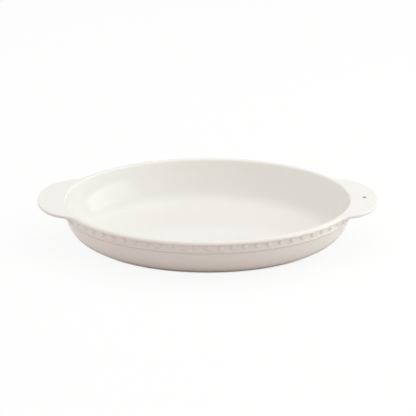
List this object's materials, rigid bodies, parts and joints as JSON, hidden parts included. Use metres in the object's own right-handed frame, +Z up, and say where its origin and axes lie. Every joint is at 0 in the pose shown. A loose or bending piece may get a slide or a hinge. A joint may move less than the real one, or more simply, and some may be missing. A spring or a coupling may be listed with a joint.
{
  "type": "oval baking dish",
  "caption": "Oval glazed stoneware baking dish with flat lug handles at its ends, a beaded border under the lip and an unglazed foot ring.",
  "frame": {"origin": "on the ground under the middle of the dish, at the level of the foot ring's underside", "axes": "+X along the dish towards the lug with the peg hole, +Y towards the back, +Z up"},
  "size_m": [0.4, 0.241, 0.0556],
  "materials": {
    "glaze": "warm white gloss glaze over stoneware",
    "bare_clay": "unglazed fired stoneware, wiped clean of glaze"
  },
  "bodies": {
    "root": {"dish_body": "glaze", "foot_ring": "bare_clay", "bead_strip_front": "glaze", "bead_strip_back": "glaze", "handle_right": "glaze", "handle_left": "glaze"}
  },
  "joints": []
}
